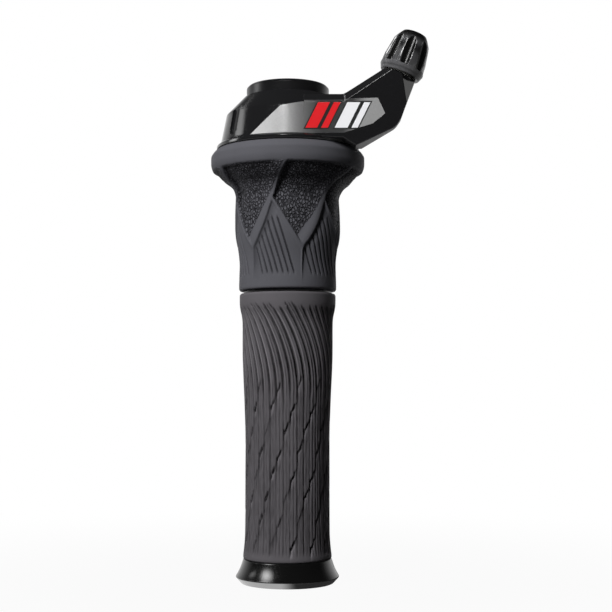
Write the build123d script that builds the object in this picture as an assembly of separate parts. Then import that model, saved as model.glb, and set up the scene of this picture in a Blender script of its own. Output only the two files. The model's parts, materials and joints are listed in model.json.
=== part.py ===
from build123d import *
import math
import os

# Handlebar and fits
BAR_DIAMETER = 22.2
BAR_CLEARANCE = 0.05
RUNNING_GAP = 0.05
SEAT_GAP = 0.05
FREE_GAP = 0.35

# End clamp ring
END_RING_HEIGHT = 8.9
END_RING_TOP_RADIUS = 16.2
END_RING_WIDE_RADIUS = 19.0
END_RING_WIDE_HEIGHT = 2.4
END_RING_FOOT_RADIUS = 16.8
END_RING_HOLLOW = 0.35
END_RING_SLOT = 1.4
END_BOLT_DIAMETER = 3.0
END_BOLT_HEAD_DIAMETER = 5.5
END_BOLT_HEAD_LENGTH = 3.0
END_BOLT_HEIGHT = 4.4
END_BOLT_SPAN = 14.0

# Fixed grip
GRIP_LENGTH = 96.7
CORE_WALL = 2.0
GRIP_END_RADIUS = 16.2
GRIP_WAIST_RADIUS = 15.56
GRIP_SHOULDER_RADIUS = 16.67
GRIP_TOP_RADIUS = 17.8
GRIP_EDGE = 0.5
RIB_COUNT = 39
RIB_GROOVE_WIDTH = 0.8
RIB_GROOVE_DEPTH = 0.6
RIB_BEND = 31.0
RIB_MARGIN = 4.65
RIB_SWEEP_DEG = 34.0
CORE_TAB_WIDTH = 5.0
CORE_TAB_HEIGHT = 2.2
TOOTH_WIDTH = 5.5
TOOTH_HEIGHT = 2.8

# Gap with the lower slide washer
GRIP_GAP = 1.15
WASHER_THICKNESS = 0.75
WASHER_RADIUS = 16.4

# Sleeve and bearing rows
SLEEVE_WALL = 1.45
BALL_DIAMETER = 2.0
BALL_COUNT = 16
BALL_PITCH_RADIUS = 13.25
BALL_ROW_RISES = (7.2, 28.2, 47.2)
CAGE_THICKNESS = 0.9
CAGE_HEIGHT = 3.2
POCKET_GAP = 0.1
SNAP_GAP = 0.75
SNAP_THICKNESS = 0.8
SNAP_OUTER_RADIUS = 14.25
SNAP_GROOVE_DEPTH = 0.4

# Twisting barrel and its rubber
BARREL_INNER_RADIUS = 13.9
BARREL_WALL = 1.5
TWIST_LENGTH = 52.2
FLANGE_DISC_RADIUS = 25.0
FLANGE_DISC_THICKNESS = 2.6
FLANGE_COVERING = 1.4
TWIST_FOOT_RADIUS = 18.0
TWIST_NECK_RADIUS = 19.7
TWIST_FLANGE_RADIUS = 28.6
TWIST_TOP_RADIUS = 20.6
FIN_COUNT = 6
PANEL_DEPTH = 0.8
FIN_GROOVE_WIDTH = 1.8
FIN_GROOVE_DEPTH = 1.0
TREAD_GROOVES = 7
TREAD_GROOVE_WIDTH = 1.1
TREAD_GROOVE_DEPTH = 0.7
TREAD_RISE = 5.2
TREAD_PITCH_DEG = 6.4
TREAD_LEAN_DEG = 0.95

# Cable spool and detent
SPLINE_HEIGHT = 0.5
SPLINE_WIDTH = 3.0
SPOOL_RADIUS = 18.3
SPOOL_HEIGHT = 6.4
CABLE_RADIUS = 0.6
CABLE_LINE_RADIUS = 17.2
DETENT_RADIUS = 18.4
DETENT_THICKNESS = 1.8
DETENT_CLICKS = 9
DETENT_STEP_DEG = 10.5
NOSE_RADIUS = 0.75
NOTCH_GAP = 0.35
LEAF_THICKNESS = 0.4
LEAF_HALF_ANGLE = 34.0
RIVET_ANGLE = 30.0
RIVET_RADIUS = 0.4

# Clamp body
DISC_RADIUS = 20.2
DISC_THICKNESS = 1.8
COLLAR_RADIUS = 15.4
COLLAR_HEIGHT = 11.875
COLLAR_EDGE = 0.9
CLAMP_SLIT = 1.0
CLAMP_SLOT = 1.6
LUG_HALF_WIDTH = 8.0
LUG_REACH = 22.4
CLAMP_BOLT_DIAMETER = 4.0
CLAMP_HEAD_DIAMETER = 7.0
CLAMP_HEAD_LENGTH = 3.0
CLAMP_NUT_FLATS = 7.0
CLAMP_NUT_LENGTH = 3.0
CLAMP_BOLT_LINE = 17.8
CLAMP_BOLT_RISE = 6.375

# Cover
COVER_WALL = 1.7
LIP_RADIUS = 26.5
LIP_HEIGHT = 1.2
WALL_FOOT_RADIUS = 25.0
WALL_FOOT_RISE = 2.3
WALL_TOP_RADIUS = 22.9
WALL_TOP_RISE = 12.85
SHOULDER_RISE = 19.85
SHOULDER_FLAT = 0.8
RECESS_ANGLE = -54.0
RECESS_WIDTH = 4.4
RECESS_DEPTH = 0.9
RECESS_RISE = 3.0
RECESS_FOOT_RISE = 5.85
NOTCH_SIDE_GAP = 0.6
SCREW_ANGLE = 48.0
SCREW_RING_RADIUS = 17.9
SCREW_DIAMETER = 2.5
SCREW_HEAD_DIAMETER = 4.2
SCREW_HEAD_LENGTH = 1.5
SCREW_LENGTH = 4.0
SEAL_WIDTH = 1.2
SEAL_HEIGHT = 1.1

# Arm and cable adjuster
ARM_FRONT = 23.6
ARM_BACK = 7.5
ARM_ROUND = 5.0
ADJUSTER_BASE_X = 40.6
ADJUSTER_BASE_RISE = 24.55
ADJUSTER_TILT_DEG = 21.0
BOSS_RADIUS = 5.7
ARM_END_WALL = 0.4
KNOB_GAP = 0.4
KNOB_LENGTH = 16.0
KNOB_FOOT_RADIUS = 7.2
KNOB_WIDE_RADIUS = 8.1
KNOB_NECK_RADIUS = 6.8
KNOB_END_RADIUS = 4.4
KNOB_FLUTES = 8
FLUTE_RADIUS = 2.6
FLUTE_DEPTH = 0.7
FLUTE_START = 0.19
STEM_RADIUS = 2.95
STEM_LENGTH = 12.6
SOCKET_RADIUS = 2.55
SOCKET_DEPTH = 9.0
CABLE_HOLE_RADIUS = 0.9
CLICK_RING_RADIUS = 4.9
CLICK_RING_LENGTH = 4.6
CLICK_KEY_WIDTH = 1.6
CLICK_KEY_REACH = 0.45
SPRING_SPACE = 2.6
SPRING_WIRE = 0.55
SPRING_COILS = 3.0
GUIDE_RADIUS = 1.5
GUIDE_START_X = 11.5
GUIDE_SPACE = 1.0

# Sizes that follow from the ones above
BORE = BAR_DIAMETER / 2 + BAR_CLEARANCE
END_BOLT_LINE = (BORE + END_RING_TOP_RADIUS) / 2 + 0.6
CORE_RADIUS = BORE + CORE_WALL
SLEEVE_RADIUS = BORE + SLEEVE_WALL
BARREL_RADIUS = BARREL_INNER_RADIUS + BARREL_WALL
RACE_RADIUS = BALL_DIAMETER / 2 + RUNNING_GAP
GRIP_FOOT = END_RING_HEIGHT + SEAT_GAP
GRIP_TOP = GRIP_FOOT + GRIP_LENGTH
RIB_TOP = GRIP_TOP - RIB_MARGIN
RIB_START = RIB_TOP - RIB_BEND
SNAP_HEIGHT = GRIP_TOP + TOOTH_HEIGHT + SNAP_GAP
TWIST_FOOT = GRIP_TOP + GRIP_GAP
TWIST_TOP = TWIST_FOOT + TWIST_LENGTH
TREAD_FOOT = TWIST_FOOT + TREAD_RISE
BALL_ROWS = tuple(TWIST_FOOT + rise for rise in BALL_ROW_RISES)
DISC_TOP_Z = TWIST_TOP - FLANGE_COVERING
LIP_FOOT = TWIST_TOP + FREE_GAP
SPOOL_FOOT = LIP_FOOT + LIP_HEIGHT
DETENT_FOOT = SPOOL_FOOT + SPOOL_HEIGHT + SEAT_GAP
BARREL_TOP = DETENT_FOOT + DETENT_THICKNESS + SEAT_GAP
UPPER_WASHER_FOOT = BARREL_TOP + FREE_GAP / 2
PLATE_FOOT = UPPER_WASHER_FOOT + WASHER_THICKNESS + SEAT_GAP
PLATE_TOP = PLATE_FOOT + DISC_THICKNESS
COLLAR_TOP = PLATE_TOP + COLLAR_HEIGHT
CLAMP_BOLT_HEIGHT = PLATE_TOP + CLAMP_BOLT_RISE
CABLE_Z = SPOOL_FOOT + SPOOL_HEIGHT / 2
WALL_FOOT = LIP_FOOT + WALL_FOOT_RISE
WALL_TOP = LIP_FOOT + WALL_TOP_RISE
SHOULDER_TOP = LIP_FOOT + SHOULDER_RISE
RECESS_FOOT = LIP_FOOT + RECESS_FOOT_RISE
TILT = math.radians(ADJUSTER_TILT_DEG)
KNOB_AXIS = Vector(math.sin(TILT), 0, math.cos(TILT))
KNOB_BASE = Vector(ADJUSTER_BASE_X, -CABLE_LINE_RADIUS, LIP_FOOT + ADJUSTER_BASE_RISE)
KNOB_PLANE = Plane(origin=KNOB_BASE, x_dir=(0, 1, 0), z_dir=KNOB_AXIS)
CLICK_DEPTH = CLICK_RING_LENGTH + RUNNING_GAP
WELL_DEPTH = CLICK_DEPTH + SPRING_SPACE


# Shape helpers
def turned(*points):
    return revolve(Plane.XZ * make_face(Polyline(*points, close=True)), Axis.Z)


def tube(outer, inner, low, high):
    return turned((inner, low), (outer, low), (outer, high), (inner, high))


def rod(radius, low, high):
    return Pos(0, 0, low) * Cylinder(radius, high - low, align=(Align.CENTER, Align.CENTER, Align.MIN))


def block(x_low, x_high, y_low, y_high, z_low, z_high):
    size = (x_high - x_low, y_high - y_low, z_high - z_low)
    return Pos(x_low, y_low, z_low) * Box(*size, align=(Align.MIN, Align.MIN, Align.MIN))


def front_prism(points, near, far):
    return extrude(Plane.XZ.offset(near) * make_face(Polyline(*points, close=True)), amount=far - near)


def around(shape, count, start=0.0):
    return [Rot(0, 0, start + 360 / count * i) * shape for i in range(count)]


def on_skin(radius, angle_deg, height):
    angle = math.radians(angle_deg)
    return Vector(radius * math.sin(angle), -radius * math.cos(angle), height)


def vee(start, end, width, depth):
    along = (end - start).normalized()
    middle = (start + end) * 0.5
    outward = Vector(middle.X, middle.Y, 0).normalized()
    lap = 0.2 * width
    plane = Plane(origin=start - along * lap, x_dir=outward.cross(along), z_dir=along)
    lift = depth * 0.6 if plane.y_dir.dot(outward) > 0 else -depth * 0.6
    half = width * 0.8
    outline = Polyline((-half, lift), (half, lift), (0, -lift / 0.6), close=True)
    return extrude(plane * make_face(outline), amount=(end - start).length + 2 * lap)


def vee_path(points, width, depth):
    runs = [vee(a, b, width, depth) for a, b in zip(points, points[1:])]
    return runs[0] + runs[1:]


def level(table, height):
    for (r_low, z_low), (r_high, z_high) in zip(table, table[1:]):
        if z_low <= height <= z_high:
            return r_low + (r_high - r_low) * (height - z_low) / (z_high - z_low)
    return table[-1][0]


def cut_side(origin, normal, size=90.0):
    plane = Plane(origin=origin, z_dir=Vector(*normal))
    return plane * Box(size, size, size, align=(Align.CENTER, Align.CENTER, Align.MIN))


def along_x(shape, y, z, x=0.0):
    return Pos(x, y, z) * Rot(0, 90, 0) * shape


def socket_screw(radius, head_radius, head_length, length, flats):
    recess = extrude(RegularPolygon(flats / 2, 6, major_radius=False), amount=head_length * 0.6)
    return rod(head_radius, -head_length, 0) + rod(radius, 0, length) - Pos(0, 0, -head_length) * recess


# Fixed grip and its end clamp
def end_clamp_ring():
    middle = (END_RING_WIDE_RADIUS + END_RING_TOP_RADIUS) / 2 - END_RING_HOLLOW
    middle_z = (END_RING_WIDE_HEIGHT + END_RING_HEIGHT) / 2
    foot = Polyline((BORE, 0), (END_RING_FOOT_RADIUS, 0), (END_RING_WIDE_RADIUS, END_RING_WIDE_HEIGHT))
    flare = ThreePointArc(
        (END_RING_WIDE_RADIUS, END_RING_WIDE_HEIGHT),
        (middle, middle_z),
        (END_RING_TOP_RADIUS, END_RING_HEIGHT),
    )
    inside = Polyline((END_RING_TOP_RADIUS, END_RING_HEIGHT), (BORE, END_RING_HEIGHT), (BORE, 0))
    ring = revolve(Plane.XZ * make_face(foot + flare + inside), Axis.Z)
    slot = block(-END_RING_SLOT / 2, END_RING_SLOT / 2, 0, 2 * END_RING_WIDE_RADIUS, 0, END_RING_HEIGHT)
    hole = along_x(rod(END_BOLT_DIAMETER / 2 + RUNNING_GAP, -END_BOLT_SPAN, END_BOLT_SPAN), END_BOLT_LINE, END_BOLT_HEIGHT)
    seat = rod(END_BOLT_HEAD_DIAMETER / 2 + RUNNING_GAP * 2, -END_BOLT_SPAN, -END_BOLT_SPAN / 2 + END_BOLT_HEAD_LENGTH)
    notch = core_bars(CORE_TAB_WIDTH + 2 * SEAT_GAP, 3) & tube(
        CORE_RADIUS + SEAT_GAP, BORE, END_RING_HEIGHT - CORE_TAB_HEIGHT - SEAT_GAP, END_RING_HEIGHT
    )
    return ring - slot - hole - along_x(seat, END_BOLT_LINE, END_BOLT_HEIGHT) - notch


def end_clamp_bolt():
    screw = socket_screw(
        END_BOLT_DIAMETER / 2, END_BOLT_HEAD_DIAMETER / 2, END_BOLT_HEAD_LENGTH, END_BOLT_SPAN - END_BOLT_HEAD_LENGTH, 2.5
    )
    return along_x(screw, END_BOLT_LINE, END_BOLT_HEIGHT, END_BOLT_HEAD_LENGTH - END_BOLT_SPAN / 2)


def core_bars(width, count):
    bar = block(-width / 2, width / 2, 0, 2 * CORE_RADIUS, 0, 2 * GRIP_TOP)
    bars = [Rot(0, 0, 60 + 360 / count * i) * bar for i in range(count)]
    return bars[0] + bars[1:]


def grip_core():
    body = tube(CORE_RADIUS, BORE, GRIP_FOOT, GRIP_TOP)
    tabs = core_bars(CORE_TAB_WIDTH, 3) & tube(CORE_RADIUS, BORE, END_RING_HEIGHT - CORE_TAB_HEIGHT, GRIP_FOOT)
    teeth = core_bars(TOOTH_WIDTH, 6) & tube(SLEEVE_RADIUS, BORE, GRIP_TOP, GRIP_TOP + TOOTH_HEIGHT)
    return body + tabs + teeth


def grip_outline():
    return [
        (GRIP_END_RADIUS, GRIP_FOOT),
        (GRIP_END_RADIUS - 0.1, GRIP_FOOT + 2),
        (GRIP_WAIST_RADIUS, GRIP_FOOT + 9),
        (GRIP_WAIST_RADIUS, GRIP_TOP - 54.7),
        (GRIP_SHOULDER_RADIUS, GRIP_TOP - 23.7),
        (GRIP_SHOULDER_RADIUS, GRIP_TOP - 10.2),
        (GRIP_TOP_RADIUS, GRIP_TOP - 3.7),
        (GRIP_TOP_RADIUS, GRIP_TOP - GRIP_EDGE),
        (GRIP_TOP_RADIUS - GRIP_EDGE, GRIP_TOP),
    ]


def grip_sleeve():
    inner = CORE_RADIUS + SEAT_GAP
    outline = grip_outline()
    body = turned((inner, GRIP_FOOT), *outline, (inner, GRIP_TOP))
    bends = [RIB_START + RIB_BEND * share for share in (0, 1 / 3, 2 / 3, 1)]
    heights = [GRIP_FOOT + 3, GRIP_FOOT + 9, GRIP_TOP - 54.7] + bends
    path = []
    for height in heights:
        rise = max(height - RIB_START, 0) / RIB_BEND
        path.append(on_skin(level(outline, height), -RIB_SWEEP_DEG * rise**2, height))
    groove = vee_path(path, RIB_GROOVE_WIDTH, RIB_GROOVE_DEPTH)
    return body - around(groove, RIB_COUNT, 180 / RIB_COUNT)


def thrust_washer():
    return tube(WASHER_RADIUS, SLEEVE_RADIUS + FREE_GAP, GRIP_TOP, GRIP_TOP + WASHER_THICKNESS)


# Bearing rows
def bearing_balls(height):
    ball = Pos(0, -BALL_PITCH_RADIUS, height) * Sphere(BALL_DIAMETER / 2)
    return Compound(children=around(ball, BALL_COUNT))


def bearing_cage(height):
    outer = BALL_PITCH_RADIUS + CAGE_THICKNESS / 2
    inner = BALL_PITCH_RADIUS - CAGE_THICKNESS / 2
    ring = tube(outer, inner, height - CAGE_HEIGHT / 2, height + CAGE_HEIGHT / 2)
    pocket = Pos(0, -BALL_PITCH_RADIUS, height) * Rot(90, 0, 0) * Cylinder(BALL_DIAMETER / 2 + POCKET_GAP, 4)
    return ring - around(pocket, BALL_COUNT)


def races():
    ring = Torus(BALL_PITCH_RADIUS, RACE_RADIUS)
    return [Pos(0, 0, height) * ring for height in BALL_ROWS]


def snap_ring():
    inner = SLEEVE_RADIUS - SNAP_GROOVE_DEPTH + SEAT_GAP
    ring = tube(SNAP_OUTER_RADIUS, inner, SNAP_HEIGHT, SNAP_HEIGHT + SNAP_THICKNESS)
    return ring - block(-2.5, 2.5, 0, 2 * SNAP_OUTER_RADIUS, 0, TWIST_TOP)


# Twisting parts
def twist_splines(extra):
    half = SPLINE_WIDTH / 2 + extra
    reach = BARREL_RADIUS + SPLINE_HEIGHT + extra
    bar = block(-half, half, -reach, -BARREL_INNER_RADIUS - 0.5, DISC_TOP_Z, BARREL_TOP)
    return around(bar, 3, 20)


def twist_barrel():
    shell = turned(
        (BARREL_INNER_RADIUS + 0.7, TWIST_FOOT),
        (BARREL_RADIUS, TWIST_FOOT),
        (BARREL_RADIUS, DISC_TOP_Z - FLANGE_DISC_THICKNESS),
        (FLANGE_DISC_RADIUS, DISC_TOP_Z - FLANGE_DISC_THICKNESS),
        (FLANGE_DISC_RADIUS, DISC_TOP_Z),
        (BARREL_RADIUS, DISC_TOP_Z),
        (BARREL_RADIUS, BARREL_TOP),
        (BARREL_INNER_RADIUS, BARREL_TOP),
        (BARREL_INNER_RADIUS, SNAP_HEIGHT + SNAP_THICKNESS + FREE_GAP),
        (BARREL_INNER_RADIUS + 0.7, SNAP_HEIGHT + SNAP_THICKNESS + FREE_GAP),
    )
    return shell + twist_splines(0) - races()


def twist_outline():
    return [
        (TWIST_FOOT_RADIUS - 0.4, TWIST_FOOT),
        (TWIST_FOOT_RADIUS, TWIST_FOOT + 0.5),
        (TWIST_FOOT_RADIUS + 0.2, TWIST_FOOT + 11),
        (TWIST_NECK_RADIUS - 0.2, TWIST_FOOT + 20.5),
        (TWIST_NECK_RADIUS, TWIST_FOOT + 34.5),
        (TWIST_NECK_RADIUS + 1.9, TWIST_FOOT + 38.2),
        (TWIST_FLANGE_RADIUS - 1.2, TWIST_FOOT + 43.8),
        (TWIST_FLANGE_RADIUS - 0.2, TWIST_FOOT + 45.6),
        (TWIST_FLANGE_RADIUS, TWIST_FOOT + 47.5),
        (TWIST_FLANGE_RADIUS, TWIST_FOOT + 49.3),
        (TWIST_FLANGE_RADIUS - 0.6, TWIST_FOOT + 50.8),
        (TWIST_FLANGE_RADIUS - 2.1, TWIST_TOP),
    ]


def twist_panel():
    corners = [
        (3.5, 44.2), (52.5, 44.2), (46.0, 39.7), (36.0, 31.0), (26.5, 23.2), (13.5, 17.0),
        (2.8, 21.8), (-4.3, 26.3), (-13.0, 31.0), (-10.0, 34.2), (-3.0, 39.5),
    ]
    outline = twist_outline()
    centre = 18.0
    points = []
    for angle, rise in corners:
        height = TWIST_FOOT + rise
        points.append((level(outline, height) * math.sin(math.radians(angle - centre)), height))
    floor = [(r - PANEL_DEPTH, z) for r, z in outline]
    core = turned((0, TWIST_FOOT), *floor, (0, TWIST_TOP))
    return Rot(0, 0, centre) * (front_prism(points, BARREL_RADIUS, 2 * TWIST_FLANGE_RADIUS) - core)


def twist_grooves():
    outline = twist_outline()
    tops = (12.7, 16.4, 20.2, 23.4, 24.5, 25.2, 25.4)
    grooves = []
    for i in range(TREAD_GROOVES):
        foot = -29.5 + TREAD_PITCH_DEG * i
        top = TWIST_FOOT + tops[i]
        path = []
        for height in (TREAD_FOOT, (TREAD_FOOT + top) / 2, top):
            angle = foot - TREAD_LEAN_DEG * (height - TREAD_FOOT)
            path.append(on_skin(level(outline, height), angle, height))
        grooves.append(vee_path(path, TREAD_GROOVE_WIDTH, TREAD_GROOVE_DEPTH))
    fin = ((-3.0, 39.5), (-10.5, 33.6), (-20.0, 24.7), (-31.0, 17.7), (-38.0, 13.7))
    path = [on_skin(level(outline, TWIST_FOOT + rise), angle, TWIST_FOOT + rise) for angle, rise in fin]
    return grooves + [vee_path(path, FIN_GROOVE_WIDTH, FIN_GROOVE_DEPTH)]


def twist_rubber():
    inner = BARREL_RADIUS + SEAT_GAP
    under = DISC_TOP_Z - FLANGE_DISC_THICKNESS - SEAT_GAP
    over = DISC_TOP_Z + SEAT_GAP
    rim = FLANGE_DISC_RADIUS + SEAT_GAP
    body = turned(
        (inner, TWIST_FOOT),
        *twist_outline(),
        (TWIST_TOP_RADIUS, TWIST_TOP),
        (TWIST_TOP_RADIUS, over),
        (rim, over),
        (rim, under),
        (inner, under),
    )
    cutters = around(twist_panel(), FIN_COUNT)
    for cutter in twist_grooves():
        cutters += around(cutter, FIN_COUNT)
    return body - cutters


def cable_spool():
    inner = BARREL_RADIUS + SEAT_GAP
    groove = CABLE_LINE_RADIUS - CABLE_RADIUS
    body = turned(
        (inner, SPOOL_FOOT),
        (SPOOL_RADIUS, SPOOL_FOOT),
        (SPOOL_RADIUS, CABLE_Z - 2 * CABLE_RADIUS),
        (groove, CABLE_Z - CABLE_RADIUS),
        (groove, CABLE_Z + CABLE_RADIUS),
        (SPOOL_RADIUS, CABLE_Z + 2 * CABLE_RADIUS),
        (SPOOL_RADIUS, SPOOL_FOOT + SPOOL_HEIGHT),
        (inner, SPOOL_FOOT + SPOOL_HEIGHT),
    )
    pocket = Pos(0, -CABLE_LINE_RADIUS - 0.6, CABLE_Z) * Sphere(2.1)
    return body - twist_splines(SEAT_GAP) - Rot(0, 0, -150) * pocket


def detent_ring():
    ring = tube(DETENT_RADIUS, BARREL_RADIUS + SEAT_GAP, DETENT_FOOT, DETENT_FOOT + DETENT_THICKNESS)
    nose_line = DETENT_RADIUS + NOTCH_GAP + 0.1
    notch = Pos(0, -nose_line, DETENT_FOOT - 1) * rod(NOSE_RADIUS + NOTCH_GAP, 0, DETENT_THICKNESS + 2)
    notches = [Rot(0, 0, 180 + DETENT_STEP_DEG * i) * notch for i in range(DETENT_CLICKS + 1)]
    return ring - twist_splines(SEAT_GAP) - notches


# Detent leaf, fixed under the disc
def leaf_radius():
    return DETENT_RADIUS + NOTCH_GAP + 0.1


def sector(outer, inner, low, high, start, end):
    middle = math.radians((start + end) / 2)
    half = math.radians((end - start) / 2)
    far = 2 * outer
    corners = [(0, 0)]
    for angle in (middle - half, middle, middle + half):
        corners.append((far * math.sin(angle), -far * math.cos(angle)))
    wedge = extrude(Pos(0, 0, low) * make_face(Polyline(*corners, close=True)), amount=high - low)
    return tube(outer, inner, low, high) & wedge


def rivet_holes(radius, near, far):
    pin = Pos(0, -near, DETENT_FOOT + DETENT_THICKNESS / 2) * Rot(90, 0, 0) * rod(radius, 0, far - near)
    return [Rot(0, 0, 180 + side * RIVET_ANGLE) * pin for side in (-1, 1)]


def detent_spring():
    inner = leaf_radius()
    low = DETENT_FOOT + 0.1
    high = DETENT_FOOT + DETENT_THICKNESS - 0.1
    strip = sector(inner + LEAF_THICKNESS, inner, low, high, 180 - LEAF_HALF_ANGLE, 180 + LEAF_HALF_ANGLE)
    nose = Pos(0, inner, 0) * rod(NOSE_RADIUS, low, high)
    inward = block(-2, 2, inner - 2, inner + LEAF_THICKNESS, low, high)
    return strip + (nose & inward) - rivet_holes(RIVET_RADIUS + RUNNING_GAP, 0, 2 * inner)


def post_radius():
    return leaf_radius() + LEAF_THICKNESS + SEAT_GAP


def spring_posts():
    low = DETENT_FOOT - 0.2
    posts = []
    for side in (-1, 1):
        centre = 180 + side * RIVET_ANGLE
        posts.append(sector(DISC_RADIUS, post_radius(), low, PLATE_FOOT + 0.5, centre - 5, centre + 5))
    return posts


def spring_rivets():
    inner = leaf_radius()
    shanks = rivet_holes(RIVET_RADIUS, inner - 0.25, DISC_RADIUS + 0.2)
    return Compound(children=shanks)


# Clamp body
def clamp_hole(radius, start, end):
    return along_x(rod(radius, start, end), CLAMP_BOLT_LINE, CLAMP_BOLT_HEIGHT)


def clamp_body():
    slit_top = PLATE_TOP + CLAMP_SLIT
    body = turned(
        (BORE, GRIP_TOP + SEAT_GAP),
        (SLEEVE_RADIUS, GRIP_TOP + SEAT_GAP),
        (SLEEVE_RADIUS, PLATE_FOOT),
        (DISC_RADIUS, PLATE_FOOT),
        (DISC_RADIUS, PLATE_TOP),
        (COLLAR_RADIUS, PLATE_TOP),
        (COLLAR_RADIUS, COLLAR_TOP - COLLAR_EDGE),
        (COLLAR_RADIUS - COLLAR_EDGE, COLLAR_TOP),
        (BORE, COLLAR_TOP),
    )
    lugs = block(-LUG_HALF_WIDTH, LUG_HALF_WIDTH, BORE + 1, LUG_REACH, slit_top, COLLAR_TOP - COLLAR_EDGE)
    lugs -= rod(BORE, 0, 2 * COLLAR_TOP)
    slit = block(-2 * DISC_RADIUS, 2 * DISC_RADIUS, 0, 2 * DISC_RADIUS, PLATE_TOP, slit_top)
    slot = block(-CLAMP_SLOT / 2, CLAMP_SLOT / 2, 0, 2 * DISC_RADIUS, slit_top, 2 * COLLAR_TOP)
    far = 2 * LUG_HALF_WIDTH
    seat = LUG_HALF_WIDTH - CLAMP_HEAD_LENGTH
    nut_seat = LUG_HALF_WIDTH - CLAMP_NUT_LENGTH
    hole = clamp_hole(CLAMP_BOLT_DIAMETER / 2 + RUNNING_GAP, -far, far)
    head = clamp_hole(CLAMP_HEAD_DIAMETER / 2 + 2 * RUNNING_GAP, -far, -seat)
    nut = extrude(RegularPolygon(CLAMP_NUT_FLATS / 2 + RUNNING_GAP, 6, major_radius=False), amount=far)
    nut_pocket = along_x(nut, CLAMP_BOLT_LINE, CLAMP_BOLT_HEIGHT, nut_seat)
    snap = tube(2 * SLEEVE_RADIUS, SLEEVE_RADIUS - SNAP_GROOVE_DEPTH, SNAP_HEIGHT - 0.1, SNAP_HEIGHT + SNAP_THICKNESS + 0.1)
    snap &= tube(SLEEVE_RADIUS + 0.5, BORE, 0, COLLAR_TOP)
    notches = core_bars(TOOTH_WIDTH + 2 * SEAT_GAP, 6) & tube(
        2 * SLEEVE_RADIUS, 0.5 * BORE, GRIP_TOP, GRIP_TOP + TOOTH_HEIGHT + SEAT_GAP
    )
    body = body + lugs + spring_posts() - slit - slot - hole - head - nut_pocket - snap - notches
    return body - races() - rivet_holes(RIVET_RADIUS + RUNNING_GAP, 0, 2 * DISC_RADIUS) - screw_holes()


def clamp_bolt():
    length = 2 * LUG_HALF_WIDTH - CLAMP_HEAD_LENGTH
    screw = socket_screw(CLAMP_BOLT_DIAMETER / 2, CLAMP_HEAD_DIAMETER / 2, CLAMP_HEAD_LENGTH, length, 3.0)
    return along_x(screw, CLAMP_BOLT_LINE, CLAMP_BOLT_HEIGHT, CLAMP_HEAD_LENGTH - LUG_HALF_WIDTH)


def clamp_nut():
    nut = extrude(RegularPolygon(CLAMP_NUT_FLATS / 2, 6, major_radius=False), amount=CLAMP_NUT_LENGTH)
    nut -= rod(CLAMP_BOLT_DIAMETER / 2 + RUNNING_GAP, -1, CLAMP_NUT_LENGTH + 1)
    return along_x(nut, CLAMP_BOLT_LINE, CLAMP_BOLT_HEIGHT, LUG_HALF_WIDTH - CLAMP_NUT_LENGTH)


def upper_washer():
    return tube(BARREL_RADIUS, SLEEVE_RADIUS + FREE_GAP, UPPER_WASHER_FOOT, UPPER_WASHER_FOOT + WASHER_THICKNESS)


# Cover with its arm
def screw_seat():
    return PLATE_TOP + SCREW_LENGTH - DISC_THICKNESS + 0.2


def at_screws(shape):
    place = Pos(0, -SCREW_RING_RADIUS, 0) * shape
    return [Rot(0, 0, 180 + side * SCREW_ANGLE) * place for side in (-1, 1)]


def screw_holes():
    return at_screws(rod(SCREW_DIAMETER / 2 + RUNNING_GAP, PLATE_FOOT, screw_seat()))


def cover_screws():
    recess = extrude(RegularPolygon(0.75, 6, major_radius=False), amount=SCREW_HEAD_LENGTH)
    screw = rod(SCREW_HEAD_DIAMETER / 2, screw_seat(), screw_seat() + SCREW_HEAD_LENGTH)
    screw += rod(SCREW_DIAMETER / 2, screw_seat() - SCREW_LENGTH, screw_seat())
    screw -= Pos(0, 0, screw_seat() + 0.6) * recess
    return Compound(children=at_screws(screw))


def cover_hollow():
    slope = (WALL_FOOT_RADIUS - WALL_TOP_RADIUS) / (WALL_TOP - WALL_FOOT)
    inner_top = WALL_TOP - 0.55 * COVER_WALL
    inner = WALL_FOOT_RADIUS - COVER_WALL
    return turned(
        (0, LIP_FOOT - 5),
        (inner, LIP_FOOT - 5),
        (inner, WALL_FOOT),
        (inner - slope * (inner_top - WALL_FOOT), inner_top),
        (COLLAR_RADIUS + FREE_GAP / 2, SHOULDER_TOP - 1.25 * COVER_WALL),
        (0, SHOULDER_TOP - 1.25 * COVER_WALL),
    )


def arm_outline():
    across = Vector(KNOB_AXIS.Z, 0, -KNOB_AXIS.X)
    tip = KNOB_BASE - KNOB_AXIS * KNOB_GAP
    half = BOSS_RADIUS + ARM_END_WALL
    left = tip - across * half
    right = tip + across * half
    points = [
        (6.0, LIP_FOOT + LIP_HEIGHT),
        (20.0, LIP_FOOT + 0.6),
        (24.6, LIP_FOOT - 2.3),
        (38.8, LIP_FOOT + 4.4),
        (40.8, LIP_FOOT + 7.6),
        (43.1, LIP_FOOT + 14.0),
        (right.X, right.Z),
        (left.X, left.Z),
        (20.6, LIP_FOOT + 17.4),
        (6.0, LIP_FOOT + 17.4),
    ]
    outline = make_face(Polyline(*points, close=True))
    round_at = [points[3], points[4], points[5], points[8]]
    corners = [v for v in outline.vertices() if any(abs(v.X - p[0]) + abs(v.Y - p[1]) < 0.01 for p in round_at)]
    return fillet(corners, ARM_ROUND)


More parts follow.
